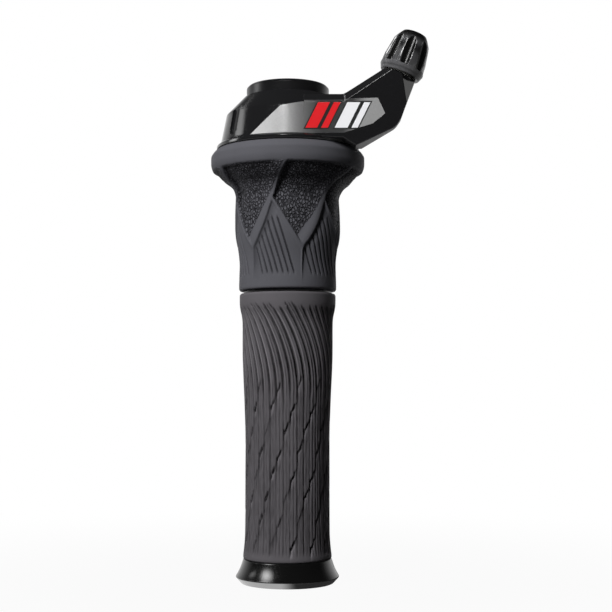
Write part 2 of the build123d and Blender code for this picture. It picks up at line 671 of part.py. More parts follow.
def cover_arm():
    body = extrude(Plane.XZ.offset(ARM_BACK) * arm_outline(), amount=ARM_FRONT - ARM_BACK)
    boss = KNOB_PLANE * rod(BOSS_RADIUS, -WELL_DEPTH - 4, -KNOB_GAP)
    shelf = cut_side((0, -ARM_FRONT, WALL_TOP + 0.6), (0, -0.8, 1)) & block(-5, 20.6, -40, 0, TWIST_FOOT, 2 * COLLAR_TOP)
    ridge = cut_side((20.6, -ARM_FRONT, WALL_TOP + 1.0), (-0.56, -0.66, 0.83)) & block(20.6, 60, -40, 0, TWIST_FOOT, 2 * COLLAR_TOP)
    side = cut_side((42.3, -ARM_FRONT, LIP_FOOT + 14.85), (0.7, -0.7, 0.1))
    back = cut_side((26.0, -ARM_BACK, LIP_FOOT - 0.2), (0.63, 0.41, -0.66))
    rear = cut_side((26.0, -ARM_BACK, LIP_FOOT + 10.65), (0.1, 1, 0.1))
    flange = rod(TWIST_FLANGE_RADIUS + FREE_GAP, TWIST_FOOT, LIP_FOOT)
    return body - shelf - ridge - side - back - rear - flange + boss


def guide_path(start_x):
    turn = math.radians(90 - ADJUSTER_TILT_DEG)
    end = KNOB_BASE - KNOB_AXIS * (STEM_LENGTH + GUIDE_SPACE)
    bend = (end.Z - CABLE_Z) / (1 - math.cos(turn))
    bend_x = end.X - bend * math.sin(turn)
    start = Vector(start_x, -CABLE_LINE_RADIUS, CABLE_Z)
    corner = Vector(bend_x, -CABLE_LINE_RADIUS, CABLE_Z)
    half = turn / 2
    mid = Vector(bend_x + bend * math.sin(half), -CABLE_LINE_RADIUS, CABLE_Z + bend * (1 - math.cos(half)))
    return Line(start, corner) + ThreePointArc(corner, mid, end)


def pipe(radius, start_x):
    plane = Plane(origin=(start_x, -CABLE_LINE_RADIUS, CABLE_Z), x_dir=(0, 1, 0), z_dir=(1, 0, 0))
    return sweep(plane * Circle(radius), path=guide_path(start_x))


def cable_guide():
    return pipe(GUIDE_RADIUS, GUIDE_START_X) - pipe(CABLE_HOLE_RADIUS, GUIDE_START_X)


def cover_recess():
    half = RECESS_WIDTH / 2
    channel = block(-half, half, -2 * LIP_RADIUS, -COLLAR_RADIUS, RECESS_FOOT, WALL_TOP + RECESS_RISE)
    channel += Pos(0, -COLLAR_RADIUS, RECESS_FOOT) * Rot(90, 0, 0) * rod(half, 0, LIP_RADIUS)
    floor = turned(
        (0, LIP_FOOT),
        (WALL_FOOT_RADIUS - RECESS_DEPTH, LIP_FOOT),
        (WALL_FOOT_RADIUS - RECESS_DEPTH, WALL_FOOT),
        (WALL_TOP_RADIUS - RECESS_DEPTH, WALL_TOP),
        (WALL_TOP_RADIUS - RECESS_DEPTH, SHOULDER_TOP),
        (0, SHOULDER_TOP),
    )
    return Rot(0, 0, RECESS_ANGLE) * (channel - floor)


def shifter_cover():
    cup = turned(
        (0, LIP_FOOT),
        (LIP_RADIUS, LIP_FOOT),
        (LIP_RADIUS, LIP_FOOT + LIP_HEIGHT),
        (WALL_FOOT_RADIUS, WALL_FOOT),
        (WALL_TOP_RADIUS, WALL_TOP),
        (COLLAR_RADIUS + SHOULDER_FLAT, SHOULDER_TOP),
        (0, SHOULDER_TOP),
    )
    body = cup + cover_arm() - cover_hollow()
    bosses = at_screws(rod(SCREW_HEAD_DIAMETER / 2 + 0.8, PLATE_TOP + SEAT_GAP, SHOULDER_TOP))
    body = body + [boss & cup for boss in bosses]
    body -= rod(COLLAR_RADIUS + FREE_GAP / 2, LIP_FOOT, 2 * COLLAR_TOP)
    body -= at_screws(rod(SCREW_HEAD_DIAMETER / 2 + 2 * RUNNING_GAP, screw_seat(), 2 * COLLAR_TOP))
    body -= screw_holes()
    gap = LUG_HALF_WIDTH + NOTCH_SIDE_GAP
    body -= block(-gap, gap, BORE, 2 * LUG_REACH, PLATE_TOP + CLAMP_SLIT - NOTCH_SIDE_GAP, 2 * COLLAR_TOP)
    body -= cover_recess()
    body -= pipe(GUIDE_RADIUS + RUNNING_GAP, GUIDE_START_X)
    body -= KNOB_PLANE * rod(STEM_RADIUS + RUNNING_GAP, -STEM_LENGTH - GUIDE_SPACE, 0)
    body -= KNOB_PLANE * rod(CLICK_RING_RADIUS + RUNNING_GAP, -WELL_DEPTH, 0)
    return body - click_keys(RUNNING_GAP, -WELL_DEPTH, 0)


def dust_seal():
    outer = WALL_FOOT_RADIUS - COVER_WALL - SEAT_GAP
    return tube(outer, outer - SEAL_WIDTH, LIP_FOOT + 0.2, LIP_FOOT + 0.2 + SEAL_HEIGHT)


# Cable adjuster
def click_keys(gap, low, high):
    half = CLICK_KEY_WIDTH / 2 + gap
    reach = CLICK_RING_RADIUS + CLICK_KEY_REACH + gap
    bar = block(-half, half, -reach, reach, low, high)
    return KNOB_PLANE * (bar - rod(CLICK_RING_RADIUS - 0.5, low, high))


def click_ring():
    top = -RUNNING_GAP
    ring = tube(CLICK_RING_RADIUS, STEM_RADIUS + FREE_GAP, -CLICK_DEPTH, top)
    return KNOB_PLANE * ring + click_keys(0, -CLICK_DEPTH, top)


def adjuster_spring():
    radius = (STEM_RADIUS + FREE_GAP + CLICK_RING_RADIUS) / 2
    height = SPRING_SPACE - SPRING_WIRE - 2 * RUNNING_GAP
    path = Helix(pitch=height / SPRING_COILS, height=height, radius=radius)
    section = Plane(origin=path @ 0, z_dir=path % 0) * Circle(SPRING_WIRE / 2)
    coil = sweep(section, path=path, is_frenet=True)
    return KNOB_PLANE * Pos(0, 0, -WELL_DEPTH + SPRING_WIRE / 2 + RUNNING_GAP) * coil


def adjuster_knob():
    head = turned(
        (0, 0),
        (KNOB_FOOT_RADIUS, 0),
        (KNOB_WIDE_RADIUS, 0.13 * KNOB_LENGTH),
        (KNOB_WIDE_RADIUS - 0.1, 0.35 * KNOB_LENGTH),
        (KNOB_NECK_RADIUS, 0.77 * KNOB_LENGTH),
        (KNOB_END_RADIUS + 0.8, 0.93 * KNOB_LENGTH),
        (KNOB_END_RADIUS, KNOB_LENGTH),
        (0, KNOB_LENGTH),
    )
    lean = math.degrees(math.atan2(KNOB_WIDE_RADIUS - KNOB_NECK_RADIUS, 0.6 * KNOB_LENGTH))
    flute = rod(FLUTE_RADIUS, 0, KNOB_LENGTH * 2)
    flute_foot = Pos(0, -KNOB_WIDE_RADIUS - FLUTE_RADIUS + FLUTE_DEPTH, KNOB_LENGTH * FLUTE_START)
    flute = flute_foot * Rot(-lean, 0, 0) * flute
    knob = head - around(flute, KNOB_FLUTES) + rod(STEM_RADIUS, -STEM_LENGTH, 0.5)
    knob -= rod(CABLE_HOLE_RADIUS, -2 * STEM_LENGTH, 2 * KNOB_LENGTH)
    knob -= rod(SOCKET_RADIUS, KNOB_LENGTH - SOCKET_DEPTH, 2 * KNOB_LENGTH)
    return KNOB_PLANE * knob


# Write every piece
PIECES = {
    "end_clamp_ring": end_clamp_ring,
    "end_clamp_bolt": end_clamp_bolt,
    "grip_core": grip_core,
    "grip_sleeve": grip_sleeve,
    "thrust_washer": thrust_washer,
    "snap_ring": snap_ring,
    "twist_barrel": twist_barrel,
    "twist_rubber": twist_rubber,
    "cable_spool": cable_spool,
    "detent_ring": detent_ring,
    "detent_spring": detent_spring,
    "spring_rivets": spring_rivets,
    "upper_washer": upper_washer,
    "clamp_body": clamp_body,
    "clamp_bolt": clamp_bolt,
    "clamp_nut": clamp_nut,
    "shifter_cover": shifter_cover,
    "cover_screws": cover_screws,
    "dust_seal": dust_seal,
    "cable_guide": cable_guide,
    "click_ring": click_ring,
    "adjuster_spring": adjuster_spring,
    "adjuster_knob": adjuster_knob,
}

os.makedirs("parts", exist_ok=True)
for node, make in PIECES.items():
    export_step(make(), f"parts/{node}.step")
for row, height in enumerate(BALL_ROWS, start=1):
    export_step(bearing_balls(height), f"parts/bearing_balls_{row}.step")
    export_step(bearing_cage(height), f"parts/bearing_cage_{row}.step")
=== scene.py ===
import json
import math

import bmesh
import bpy
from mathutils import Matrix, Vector


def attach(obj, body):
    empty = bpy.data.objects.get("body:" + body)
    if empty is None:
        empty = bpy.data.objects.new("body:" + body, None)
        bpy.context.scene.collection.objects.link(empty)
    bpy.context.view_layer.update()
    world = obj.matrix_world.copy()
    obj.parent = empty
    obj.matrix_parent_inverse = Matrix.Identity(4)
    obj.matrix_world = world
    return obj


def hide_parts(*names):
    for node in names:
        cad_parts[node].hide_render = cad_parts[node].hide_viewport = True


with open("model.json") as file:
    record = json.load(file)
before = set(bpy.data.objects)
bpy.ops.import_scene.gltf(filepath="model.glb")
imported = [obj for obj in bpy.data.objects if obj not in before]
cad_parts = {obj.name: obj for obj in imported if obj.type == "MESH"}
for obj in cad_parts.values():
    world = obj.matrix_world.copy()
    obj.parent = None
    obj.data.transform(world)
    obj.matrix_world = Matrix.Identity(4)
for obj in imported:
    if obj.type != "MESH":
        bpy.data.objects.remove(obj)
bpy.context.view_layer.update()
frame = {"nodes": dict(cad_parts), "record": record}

scene = bpy.context.scene

MM = 0.001
PER_MM = 1 / MM
FULL_TURN = 360.0

# Fixed grip in millimetres
GRIP_FOOT = 8.95
GRIP_TOP = 105.65
GRIP_INNER = 13.2
GRIP_PROFILE = (
    (GRIP_FOOT, 16.0), (9.6, 16.2), (11.0, 16.1), (17.9, 15.6), (30.0, 15.56), (50.9, 15.56), (66.0, 16.0),
    (82.0, 16.62), (95.4, 16.72), (102.0, 17.75), (105.0, 17.78), (GRIP_TOP, 17.4),
)
GRIP_ROWS = 206
COLUMNS_PER_RIB = 12

# Ribs of the grip, which lean over towards its top
RIB_COUNT = 39
RIB_START = 70.0
RIB_BEND = 31.0
RIB_SWEEP = 34.0
RIB_WIDTH = 2.6
SEAM_SHIFT = 0.503
UPPER_ZONE = (62.0, 84.0)
VALLEY_SPAN = (0.1, 0.58)
VALLEY_DEPTH = 1.15
CREASE_SPAN = (0.02, 0.26)
CREASE_DEPTH = 0.6
CREASE_SPREAD = 0.4
JOINT_SPAN = (0.04, 0.34)
JOINT_DEPTH = 0.14
JOINT_SPREAD = 0.3
LOW_CREASE_DEPTH = 0.3
RIB_STEP = 0.14
RELIEF_FOOT = (10.4, 13.0)
RELIEF_TOP = (100.4, 102.2)
RELIEF_TOP_SPREAD = 2.2

# Cracks across the lower ribs
CRACK_PERIOD = 24.0
CRACK_SHIFT = 8.0
CRACK_PHASE = 3.0
CRACK_JITTER = 2.6
CRACK_SLOPE = 2.2
CRACK_REACH = (0.55, 0.8)
CRACK_LIP = (-0.22, -0.04)
CRACK_BACK = (0.08, 0.62)
CRACK_DEPTH = 0.9
CRACK_CHANCE = (0.08, 0.5)
PATCH_LIP = (-0.1, 0.1)
PATCH_BACK = (0.2, 3.4)
PATCH_DEPTH = 0.24
RUN_SPAN = (0.02, 0.22)
RUN_FOOT = (-7.6, -4.6)
RUN_TOP = (-2.2, -1.0)
RUN_DEPTH = 0.55
BARK_REACH = 30.0
BARK_SCALE = 0.6
BARK_SHARE = 1.4

# Painted highlights on the edges of cracks and ribs, and painted shade in recesses by depth
LIT_LIP = (0.3, 0.6)
LIT_BACK = (0.8, 2.0)
RIDGE_FROM = (0.18, 0.28)
RIDGE_TO = (0.32, 0.46)
RIDGE_TOP = (97.0, 100.0)
RIDGE_BASE = 0.5
RIDGE_SPREAD = 0.9
PAINTED_SHADE_PER_DEPTH = 2.0
PAINTED_HIGHLIGHT_SHARE = 1.5

# Twisting sleeve in millimetres and degrees
TWIST_FOOT = 106.8
TWIST_TOP = 159.0
TWIST_BORE = 15.45
TWIST_PROFILE = (
    (TWIST_FOOT, 17.6), (107.4, 18.0), (112.0, 18.05), (117.8, 18.2), (127.3, 19.4), (134.0, 19.6),
    (141.3, 19.7), (145.0, 21.5), (148.0, 25.0), (150.6, 27.4), (152.4, 28.3), (154.3, 28.58),
    (156.1, 28.58), (157.6, 27.9), (158.5, 27.1), (TWIST_TOP, 26.5),
)
RECESS_MOUTH = 20.6
RECESS_RADIUS = 25.05
RECESS_TOP = 157.65
RECESS_FOOT = 154.95
TWIST_INNER = (
    (RECESS_MOUTH, TWIST_TOP), (RECESS_MOUTH, RECESS_TOP), (RECESS_RADIUS, RECESS_TOP),
    (RECESS_RADIUS, RECESS_FOOT), (TWIST_BORE, RECESS_FOOT), (TWIST_BORE, TWIST_FOOT),
)
TWIST_ROWS = 158
COLUMNS_PER_FIN = 100

# Fins and pebbled panels of the twisting sleeve
FIN_COUNT = 6
FIN_LINE = (
    (119.0, -43.5), (121.4, -42.7), (124.5, -36.4), (131.5, -25.4), (136.3, -20.2), (140.4, -15.6),
    (146.3, -8.1), (150.2, -2.3), (153.3, 2.0), (155.0, 4.0),
)
FIN_ANGLES = (-60.0, 20.0)
FIN_EDGE = (0.8, 2.6)
FIN_BACK = (45.0, 59.2)
HOLLOW_SPAN = (2.6, 14.0)
PANEL_TOP = 151.0
PANEL_RIM = (PANEL_TOP - 0.5, PANEL_TOP + 0.4)
# Height span of the painted shade on the panels under the flange band
PANEL_SHADE = (PANEL_TOP - 6.0, PANEL_TOP)
PANEL_DEPTH = 1.15
PANEL_HOLLOW = 0.45
CROSS_SLOPE = -0.528
CROSS_ANGLE = -13.0
CROSS_HEIGHT = 137.8
CROSS_EDGE = (-0.2, 1.2)
BLADE_LINE = ((120.0, 43.0), (127.0, 46.0), (133.0, 51.5), (140.0, 56.5), (147.0, 58.8), (155.0, 59.0))
BLADE_ANGLES = (40.0, 60.0)
BLADE_EDGE = (-1.2, 0.4)

# Leaves between the fins and their tread grooves
TREAD_COUNT = 7
TREAD_FOOT = 112.0
TREAD_TOP = 132.2
TREAD_FIRST = -29.5
TREAD_PITCH = 6.4
TREAD_LEAN = 0.95
TREAD_MM_PER_DEGREE = 0.33
TREAD_WIDTH = (0.08, 0.46)
TREAD_DEPTH = 0.75
TREAD_SIDE = (3.0, 6.0)
TREAD_START = (TREAD_FOOT - 0.8, TREAD_FOOT + 1.2)
TREAD_END = (TREAD_TOP - 1.0, TREAD_TOP + 1.0)
TREAD_TIP = (-4.2, -2.6)
LEAF_EDGE = (0.8, 2.8)
LEAF_TIP = (-2.4, -0.4)
LEAF_FOOT = (TREAD_FOOT - 4.0, TREAD_FOOT + 6.0)
LEAF_DEPTH = 0.3
LEAF_HOLLOW = 0.5

# Cable adjuster knob
KNOB_BASE = (40.6, -17.2, 183.9)
KNOB_TILT_DEG = 21.0
KNOB_RING = 3.04
KNOB_BLUR = 0.2
KNOB_CROWN = (12.4, 14.6)
KNOB_PROFILE = ((0.0, 7.2), (2.08, 8.1), (5.6, 8.0), (12.32, 6.8), (14.88, 5.2), (16.0, 4.4))
KNOB_REACH = 9.0


# Node sums
class Wire:
    """A node socket that takes part in sums; each sum adds a Math node."""

    def __init__(self, tree, socket=None):
        self.tree = tree
        self.socket = socket

    def node(self, kind, settings=None, values=None, out=0):
        made = self.tree.nodes.new(kind)
        for name, setting in (settings or {}).items():
            if name == "curve":
                lay_curve(made.mapping, setting)
            else:
                setattr(made, name, setting)
        for key, value in (values or {}).items():
            if isinstance(value, Wire):
                self.tree.links.new(value.socket, made.inputs[key])
            else:
                made.inputs[key].default_value = value
        return Wire(self.tree, made.outputs[out] if made.outputs else None)

    def out(self, name):
        return Wire(self.tree, self.socket.node.outputs[name])

    def maths(self, operation, *values):
        return self.node("ShaderNodeMath", {"operation": operation}, dict(enumerate((self, *values))))

    def __add__(self, other):
        return self.maths("ADD", other)

    def __radd__(self, other):
        return self.maths("ADD", other)

    def __sub__(self, other):
        return self.maths("SUBTRACT", other)

    def __rsub__(self, other):
        return self.node("ShaderNodeMath", {"operation": "SUBTRACT"}, {0: other, 1: self})

    def __mul__(self, other):
        return self.maths("MULTIPLY", other)

    def __rmul__(self, other):
        return self.maths("MULTIPLY", other)

    def __truediv__(self, other):
        return self.maths("DIVIDE", other)

    def __rtruediv__(self, other):
        return self.node("ShaderNodeMath", {"operation": "DIVIDE"}, {0: other, 1: self})

    def __abs__(self):
        return self.maths("ABSOLUTE")

    def __neg__(self):
        return self.maths("MULTIPLY", -1.0)


def lay_curve(mapping, points):
    curve = mapping.curves[0]
    curve.points[0].location = points[0]
    curve.points[1].location = points[-1]
    for place in points[1:-1]:
        curve.points.new(*place)
    for point in curve.points:
        point.handle_type = "AUTO_CLAMPED"
    mapping.update()


def smooth(value, low, high):
    settings = {"interpolation_type": "SMOOTHSTEP"}
    return value.node("ShaderNodeMapRange", settings, {"Value": value, "From Min": low, "From Max": high})


def hump(value, up, down):
    return smooth(value, *up) * (1 - smooth(value, *down))


def between(value, low, high, edge):
    return hump(value, (low - edge, low + edge), (high - edge, high + edge))


def follow(value, points, low, high):
    first = points[0][0]
    last = points[-1][0]
    share = value.node("ShaderNodeMapRange", {}, {"Value": value, "From Min": first, "From Max": last})
    curve = [((x - first) / (last - first), (y - low) / (high - low)) for x, y in points]
    return value.node("ShaderNodeFloatCurve", {"curve": curve}, {"Value": share}) * (high - low) + low


def blend(net, share, first, second):
    values = {0: share, 6: first, 7: second}
    return net.node("ShaderNodeMix", {"data_type": "RGBA", "clamp_factor": True}, values, out=2)


def grey(value, tint=(1.0, 1.0, 1.0)):
    return tuple(value * part for part in tint) + (1.0,)


def parts_of(net, vector):
    return net.node("ShaderNodeSeparateXYZ", {}, {0: vector})


def joined(first, second, third=0.0):
    return first.node("ShaderNodeCombineXYZ", {}, {0: first, 1: second, 2: third})


# Turned rubber sleeves as node trees
PROFILE_ROOM = 0.5
SEAM_MERGE = 0.000002


def new_tree(name, sizes):
    tree = bpy.data.node_groups.new(name, "GeometryNodeTree")
    for label, value in sizes.items():
        kind = "NodeSocketInt" if isinstance(value, int) else "NodeSocketFloat"
        tree.interface.new_socket(label, in_out="INPUT", socket_type=kind)
    tree.interface.new_socket("Geometry", in_out="OUTPUT", socket_type="NodeSocketGeometry")
    net = Wire(tree)
    source = net.node("NodeGroupInput")
    return net, {label: source.out(label) for label in sizes}


def turned_sleeve(net, given, profile, inner, relief, material):
    rows = given["Rows"] + float(len(inner))
    grid = net.node(
        "GeometryNodeMeshGrid", {},
        {"Size X": 1.0, "Size Y": 1.0, "Vertices X": given["Columns"] + 1.0, "Vertices Y": rows + 1.0},
    )
    flat = parts_of(net, net.node("GeometryNodeInputPosition"))
    angle = flat * FULL_TURN
    row = ((flat.out("Y") + 0.5) * rows).maths("ROUND")
    share = ((row - 1.0) / (given["Rows"] - 1.0)).maths("MINIMUM", 1.0).maths("MAXIMUM", 0.0)
    height = given["Foot"] + share * (given["Top"] - given["Foot"])
    depth, marks = relief(given, angle, height)
    reach = max(radius for _, radius in profile) + PROFILE_ROOM
    radius = follow(height, profile, 0.0, reach) - depth
    for step, (inner_radius, inner_height) in enumerate(inner):
        away = abs(row - (given["Rows"] + (step + 1.0)))
        if step == len(inner) - 1:
            away = away.maths("MINIMUM", row)
        here = 1 - away.maths("MINIMUM", 1.0)
        radius = radius + here * (inner_radius - radius)
        height = height + here * (inner_height - height)
    turn = angle.maths("RADIANS")
    place = joined(turn.maths("SINE") * radius * MM, turn.maths("COSINE") * radius * -MM, height * MM)
    shape = grid
    for label, value in marks.items():
        settings = {"data_type": "FLOAT", "domain": "POINT"}
        values = {"Geometry": shape, "Name": label, "Value": value}
        shape = net.node("GeometryNodeStoreNamedAttribute", settings, values)
    shape = net.node("GeometryNodeSetPosition", {}, {"Geometry": shape, "Position": place})
    shape = net.node("GeometryNodeMergeByDistance", {}, {"Geometry": shape, "Distance": SEAM_MERGE})
    shape = net.node("GeometryNodeSetShadeSmooth", {}, {0: shape})
    shape = net.node("GeometryNodeRealizeInstances", {}, {0: shape})
    shape = net.node("GeometryNodeSetMaterial", {}, {"Geometry": shape, "Material": material})
    net.node("NodeGroupOutput", {}, {0: shape})


def grip_relief(given, angle, height):
    rise = ((height - given["Rib start"]) / RIB_BEND).maths("MAXIMUM", 0.0)
    sweep = rise * rise * RIB_SWEEP
    strip = (angle + sweep) * (given["Ribs"] / FULL_TURN) + SEAM_SHIFT
    index = strip.maths("FLOOR")
    part = strip - index
    index = index.maths("FLOORED_MODULO", given["Ribs"])
    own = index.node("ShaderNodeTexWhiteNoise", {"noise_dimensions": "1D"}, {"W": index})
    upper = smooth(height, *UPPER_ZONE)
    edge = part.maths("MINIMUM", 1 - part) * RIB_WIDTH
    across = (part - 0.5) * RIB_WIDTH

    shifted = height - index * CRACK_SHIFT
    along = (shifted - (own - 0.5) * CRACK_JITTER) + CRACK_PHASE
    along = along.maths("FLOORED_MODULO", CRACK_PERIOD) - CRACK_PERIOD / 2
    turn = angle.maths("RADIANS")
    around = joined(turn.maths("SINE") * BARK_REACH, turn.maths("COSINE") * BARK_REACH, height)
    bark = angle.node("ShaderNodeTexNoise", {}, {"Vector": around, "Scale": BARK_SCALE})
    offset = (across * CRACK_SLOPE - along) / math.hypot(1.0, CRACK_SLOPE) + (bark - 0.5) * BARK_SHARE
    reach = 1 - smooth(part, *CRACK_REACH)
    cut = hump(offset, CRACK_LIP, CRACK_BACK) * reach
    patch = hump(offset, PATCH_LIP, PATCH_BACK)
    run = (1 - smooth(part, *RUN_SPAN)) * hump(along, RUN_FOOT, RUN_TOP)
    spot = joined(index, (shifted / CRACK_PERIOD).maths("FLOOR"))
    chance = index.node("ShaderNodeTexWhiteNoise", {"noise_dimensions": "2D"}, {"Vector": spot})
    crack = (cut * CRACK_DEPTH).maths("MAXIMUM", run * RUN_DEPTH) * smooth(chance, *CRACK_CHANCE)

    crease = 1 - smooth(abs(across), *CREASE_SPAN)
    joint = (1 - smooth(edge, *JOINT_SPAN)) * (own * JOINT_SPREAD + JOINT_DEPTH)
    low_crease = crease * (LOW_CREASE_DEPTH - own * LOW_CREASE_DEPTH)
    lower = (1 - upper) * (joint + low_crease + crack + patch * PATCH_DEPTH + own * RIB_STEP)
    valley = (1 - smooth(edge, *VALLEY_SPAN)) * VALLEY_DEPTH + crease * (CREASE_DEPTH - own * CREASE_SPREAD)
    depth = (lower + upper * valley) * given["Relief"]
    depth = depth * smooth(height, *RELIEF_FOOT) * (1 - smooth(height + own * RELIEF_TOP_SPREAD, *RELIEF_TOP))

    # Painted highlight on crack flanks and along the left edges of the upper ribs
    painted_edge_highlight = hump(offset, LIT_LIP, LIT_BACK) * chance * reach * (1 - upper)
    painted_ridge_highlight = hump(part, RIDGE_FROM, RIDGE_TO) * upper * (own * RIDGE_SPREAD + RIDGE_BASE)
    painted_edge_highlight = painted_edge_highlight.maths("MAXIMUM", painted_ridge_highlight * (1 - smooth(height, *RIDGE_TOP)))
    # Painted shade darkens recesses by their depth; the painted highlights go in as negative values
    groove = (depth * PAINTED_SHADE_PER_DEPTH - painted_edge_highlight * PAINTED_HIGHLIGHT_SHARE).maths("MINIMUM", 1.0)
    return depth, {"groove": groove, "sweep": sweep}


def twist_relief(given, angle, height):
    centre = follow(height, FIN_LINE, *FIN_ANGLES)
    turn = (angle - centre).maths("FLOORED_MODULO", FULL_TURN / FIN_COUNT)
    local = turn + centre
    above = height - (CROSS_HEIGHT + (local - CROSS_ANGLE) * CROSS_SLOPE)
    hollow = 1 - smooth(turn, *HOLLOW_SPAN)

    open_side = smooth(turn, *FIN_EDGE) * (1 - smooth(height, *PANEL_RIM)) * smooth(above, *CROSS_EDGE)
    panel = open_side * (1 - smooth(turn, *FIN_BACK))
    blade = follow(height, BLADE_LINE, *BLADE_ANGLES)
    pebbled = open_side * (1 - smooth(turn - blade, *BLADE_EDGE))

    leaf = smooth(turn, *LEAF_EDGE) * (1 - smooth(above, *LEAF_TIP)) * smooth(height, *LEAF_FOOT)
    tread = (local + (height - TREAD_FOOT) * TREAD_LEAN - TREAD_FIRST) / TREAD_PITCH
    nearest = tread.maths("ROUND")
    gap = abs(tread - nearest) * (TREAD_PITCH * TREAD_MM_PER_DEGREE)
    counted = between(nearest, -0.5, TREAD_COUNT - 0.5, 0.1)
    inside = smooth(turn, *TREAD_SIDE) * smooth(height, *TREAD_START)
    inside = inside * (1 - smooth(above, *TREAD_TIP)) * (1 - smooth(height, *TREAD_END))
    groove = (1 - smooth(gap, *TREAD_WIDTH)) * counted * inside

    sunk = panel * (hollow * PANEL_HOLLOW + given["Panel depth"]) + leaf * (hollow * LEAF_HOLLOW + LEAF_DEPTH)
    depth = (sunk + groove * TREAD_DEPTH) * given["Relief"]
    # Painted shade: treads, the hollows beside each fin and the panel tops under the flange are darkened in
    # colour
    shade = panel * smooth(height, *PANEL_SHADE)
    dark = groove + panel * hollow * 0.7 + leaf * hollow * 0.5 + shade * 0.5
    return depth, {"groove": dark.maths("MINIMUM", 1.0), "pebble": pebbled}


def made_plain(piece, modifier):
    ready = piece.evaluated_get(bpy.context.evaluated_depsgraph_get())
    mesh = bpy.data.meshes.new_from_object(ready)
    piece.modifiers.remove(modifier)
    piece.data = mesh
    return mesh


def grown(name, net, sizes):
    tree = net.tree
    piece = bpy.data.objects.new(name, bpy.data.meshes.new(name))
    scene.collection.objects.link(piece)
    modifier = piece.modifiers.new(name, "NODES")
    modifier.node_group = tree
    for item in tree.interface.items_tree:
        if item.in_out == "INPUT":
            modifier[item.identifier] = sizes[item.name]
    made_plain(piece, modifier)
    return piece


def placed(piece, body, node):
    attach(piece, body)
    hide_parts(node)


# Moulded and machined pieces with eased edges
POINT_MERGE = 0.000003
FLAT_ANGLE = math.radians(0.4)
EDGE_ANGLE = math.radians(32.0)
MOST_CORNERS = 40


def merged_copy(node):
    mesh = frame["nodes"][node].data.copy()
    work = bmesh.new()
    work.from_mesh(mesh)
    bmesh.ops.remove_doubles(work, verts=work.verts, dist=POINT_MERGE)
    bmesh.ops.dissolve_limit(work, angle_limit=FLAT_ANGLE, verts=work.verts, edges=work.edges)
    bmesh.ops.triangulate(work, faces=[face for face in work.faces if len(face.verts) > MOST_CORNERS])
    work.to_mesh(mesh)
    work.free()
    return mesh


def eased(node, body, material, width):
    piece = bpy.data.objects.new(node + "_eased", merged_copy(node))
    scene.collection.objects.link(piece)
    bevel = piece.modifiers.new("edge", "BEVEL")
    bevel.width = width * MM
    bevel.segments = 3
    bevel.limit_method = "ANGLE"
    bevel.angle_limit = EDGE_ANGLE
    bevel.use_clamp_overlap = False
    bevel.miter_outer = "MITER_ARC"
    rounded = made_plain(piece, bevel)
    rounded.shade_smooth()
    rounded.set_sharp_from_angle(angle=EDGE_ANGLE)
    weight = piece.modifiers.new("flat_faces", "WEIGHTED_NORMAL")
    weight.keep_sharp = True
    finished = made_plain(piece, weight)
    finished.materials.clear()
    finished.materials.append(material)
    placed(piece, body, node)


# Parts of finishes
def new_finish(name):
    material = bpy.data.materials.new(name)
    material.use_nodes = True
    material.node_tree.nodes.clear()
    net = Wire(material.node_tree)
    return material, net, net.node("ShaderNodeTexCoord", out="Object")


def set_surface(net, values):
    surface = net.node("ShaderNodeBsdfPrincipled", {}, values)
    net.node("ShaderNodeOutputMaterial", {}, {"Surface": surface})


def noise(net, place, size_mm, detail=2.0):
    values = {"Vector": place, "Scale": 1 / (size_mm * MM), "Detail": detail, "Roughness": 0.55}
    return net.node("ShaderNodeTexNoise", {}, values)


def bump(net, height, distance_mm, strength=1.0):
    values = {"Strength": strength, "Distance": distance_mm * MM, "Height": height}
    return net.node("ShaderNodeBump", {}, values, out="Normal")


def attribute(net, label):
    return net.node("ShaderNodeAttribute", {"attribute_name": label}, out="Fac")


def facing(net):
    return parts_of(net, net.node("ShaderNodeTexCoord", out="Normal"))


# Rubber of both sleeves
RUBBER_GRAIN_MM = 0.35
RUBBER_CLOUD_MM = 9.0
LINE_SCALE = 34.0
LINE_STRETCH = 0.006
LINE_HEIGHTS = (13.0, 99.0)
LINE_FADE = 2.0
LINE_SHARE = 1.3
PEBBLE_MM = 0.95
PEBBLE_STRETCH = (1.0, 1.0, 0.7)
PEBBLE_EDGE = (0.02, 0.24)
PEBBLE_RELIEF = 2.2
SPECKLE_MM = 1.0
# Painted glints on the pebble tops
GLINT_EDGE = (0.12, 0.34)
GLINT_SPECKLE = (0.38, 0.62)
GLINT_SHARE = 0.55
DARK_SHARE = 0.2
LIGHT_SHARE = 1.6


def fine_lines(net, place, groove):
    split = parts_of(net, place)
    height = split.out("Z") * PER_MM
    turn = split.maths("ARCTAN2", -split.out("Y")) + attribute(net, "sweep").maths("RADIANS")
    ring = joined(turn.maths("SINE"), turn.maths("COSINE"), height * LINE_STRETCH)
    lines = net.node("ShaderNodeTexNoise", {}, {"Vector": ring, "Scale": LINE_SCALE, "Detail": 2.0})
    lined = between(height, *LINE_HEIGHTS, LINE_FADE)
    relief = lined * lines * LINE_SHARE
    dark = lined * (0.5 - lines) * LINE_SHARE
    # Third value: the negative part of the groove attribute, the painted highlights on crack flanks and rib
    # edges; the line tone is the rubber's own
    return relief, dark, (-groove).maths("MAXIMUM", 0.0)


